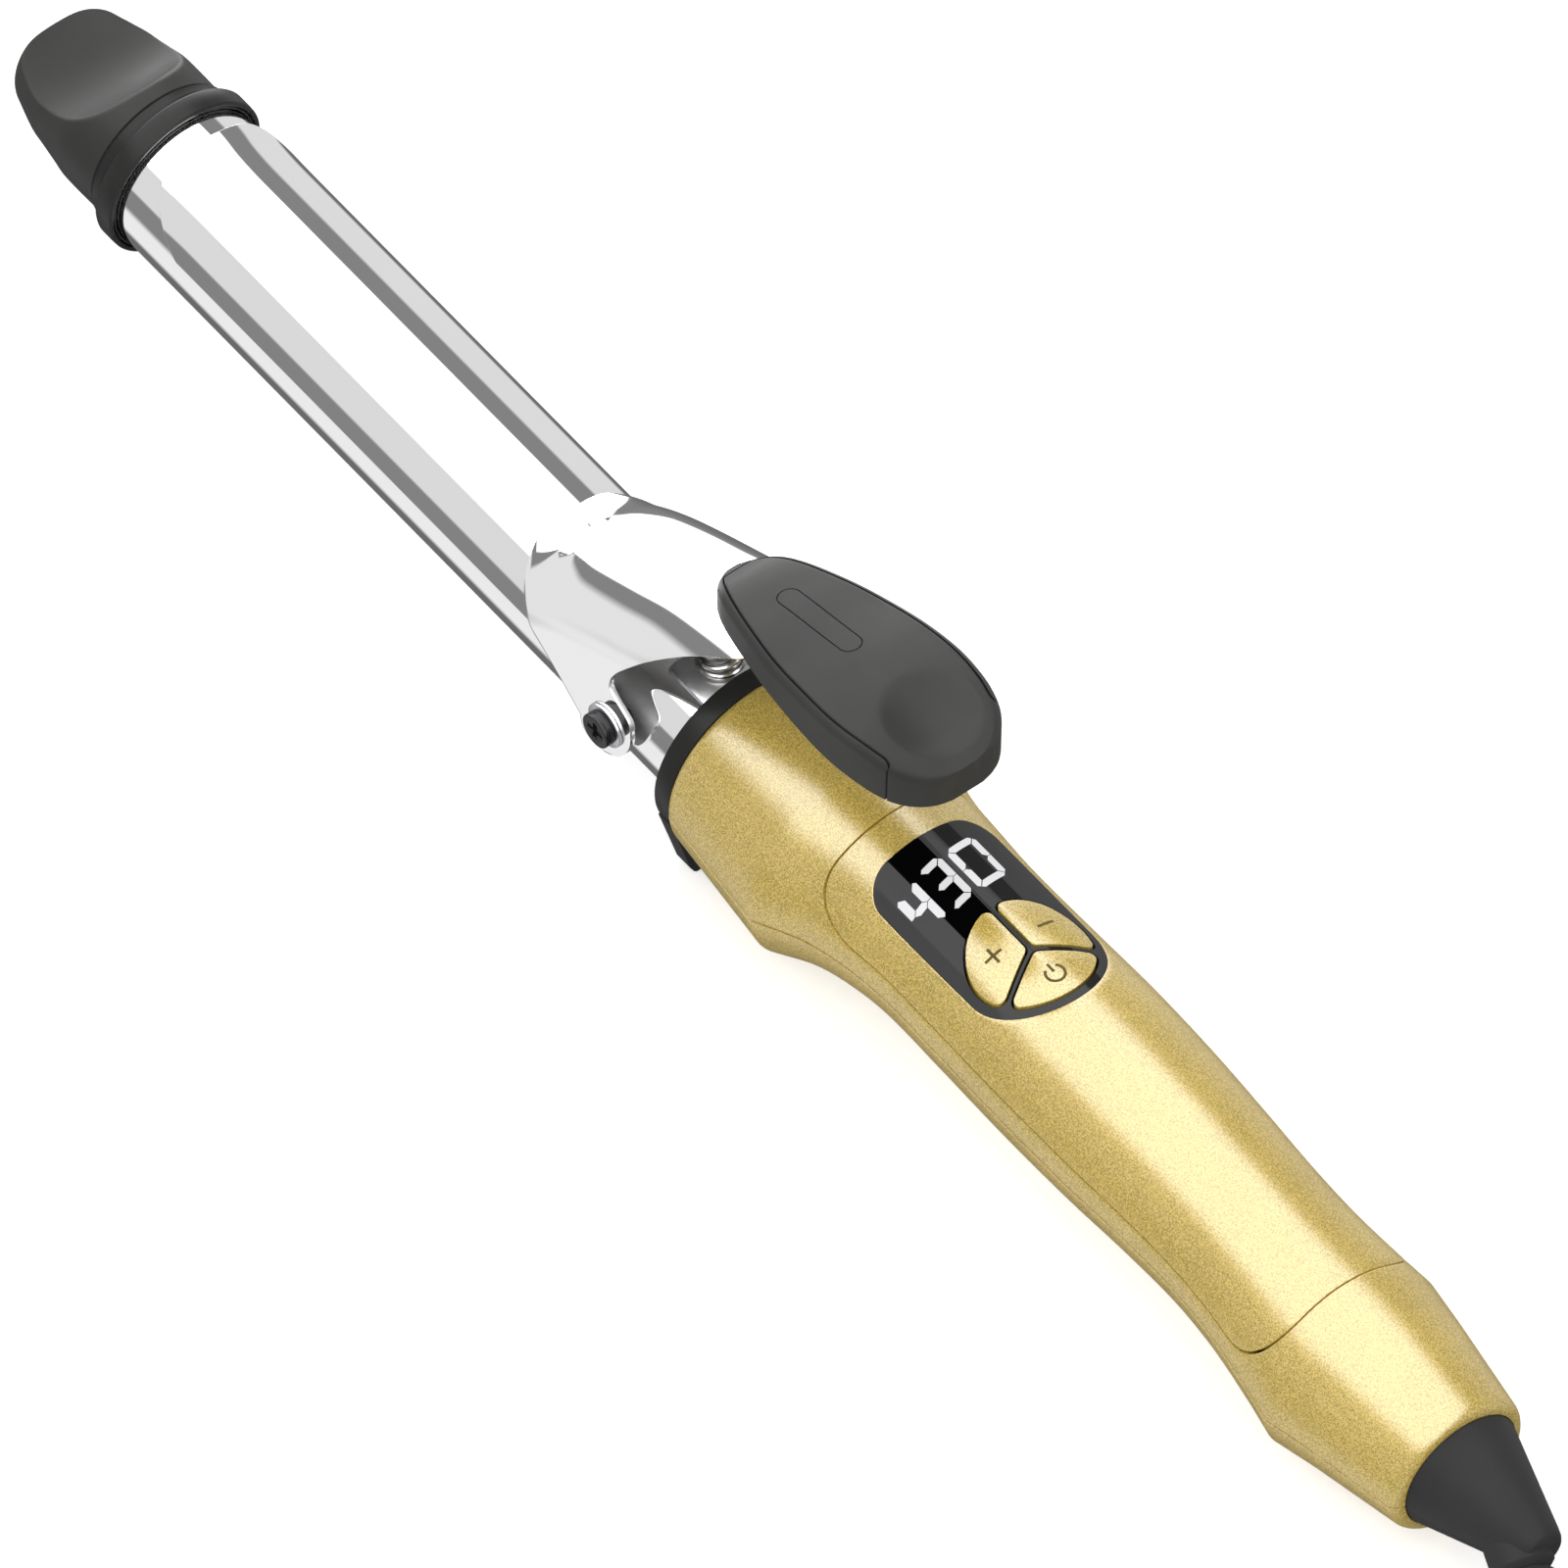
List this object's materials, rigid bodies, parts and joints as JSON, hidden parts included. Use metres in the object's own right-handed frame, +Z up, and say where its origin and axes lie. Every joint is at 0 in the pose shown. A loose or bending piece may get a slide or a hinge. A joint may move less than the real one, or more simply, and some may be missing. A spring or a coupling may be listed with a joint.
{
  "type": "curling iron",
  "caption": "Curling iron with a chromed barrel, a sprung clip on a thumb lever, a waisted handle with display and push buttons, a foot and a swivel cord with plug.",
  "frame": {"origin": "bottom centre of the iron without its free cord, on the surface that the foot and the rear bulge of the handle rest on", "axes": "+X along the iron towards the cool tip, +Z up, +Y to the side of the plus button"},
  "size_m": [0.5565, 0.0529, 0.0703],
  "materials": {
    "chrome": "polished",
    "black": "matt, lightly grained",
    "black_gloss": "gloss",
    "gold": "metallic flake paint",
    "steel": "plated",
    "screw_black": "blackened",
    "brass": "plain",
    "alu": "extruded",
    "ceramic": null,
    "cream": "moulded",
    "pcb": "laminate",
    "parts": "moulded",
    "led": "gloss",
    "wire": "sleeved",
    "cord": "matt"
  },
  "bodies": {
    "iron": {"barrel_tube": "chrome", "heater_plate": "ceramic", "heat_spreaders": "alu", "thermistor": "brass", "thermal_fuse": "steel", "pivot_bracket": "steel", "spring_seat": "chrome", "pivot_screws": "screw_black", "pivot_washers": "brass", "tip_collar": "black", "tip_bracket": "steel", "tip_screw": "steel", "tip_cap": "black", "collar_stand": "black", "barrel_bush": "cream", "handle_upper": "gold", "handle_lower": "gold", "handle_panel": "gold", "display_window": "black_gloss", "display_module": "led", "circuit_board": "pcb", "board_parts": "parts", "tact_switches": "parts", "handle_screws": "steel", "lead_wires": "wire", "swivel_bush": "cream", "brush_holder": "cream", "brush_contacts": "brass", "clip_spring": "steel"},
    "clip": {"clip_shell": "chrome", "clip_saddle": "chrome", "clip_rivet": "chrome", "lever_base": "black", "lever_cap": "black", "lever_plug": "black", "lever_screws": "steel"},
    "button_plus_body": {"button_plus": "gold"},
    "button_minus_body": {"button_minus": "gold"},
    "button_power_body": {"button_power": "gold"},
    "swivel": {"swivel_boot": "black", "contact_rings": "brass", "strain_relief": "cord", "cord": "cord", "cord_hank": "cord", "cord_tie": "black", "plug_body": "cord", "plug_blades": "brass"}
  },
  "joints": [
    {"name": "clip_hinge", "type": "hinge", "parent": "iron", "child": "clip", "pos_m": [0.02569, 0, 0.02276], "axis": [0, -1, 0], "range_deg": [0, 16], "stiffness_Nm_per_rad": 0.6, "springref_deg": -17.19, "deforming": ["clip_spring"]},
    {"name": "plus_press", "type": "slide", "parent": "iron", "child": "button_plus_body", "axis": [0.0252, 0, -0.9997], "range_m": [0, 0.0006], "stiffness_N_per_m": 500, "springref_m": -0.001},
    {"name": "minus_press", "type": "slide", "parent": "iron", "child": "button_minus_body", "axis": [0.0252, 0, -0.9997], "range_m": [0, 0.0006], "stiffness_N_per_m": 500, "springref_m": -0.001},
    {"name": "power_press", "type": "slide", "parent": "iron", "child": "button_power_body", "axis": [0.0252, 0, -0.9997], "range_m": [0, 0.0006], "stiffness_N_per_m": 500, "springref_m": -0.001},
    {"name": "cord_swivel", "type": "hinge", "parent": "iron", "child": "swivel", "pos_m": [-0.1472, 0, 0.0164], "axis": [0.9997, 0, 0.0252], "continuous": true}
  ]
}
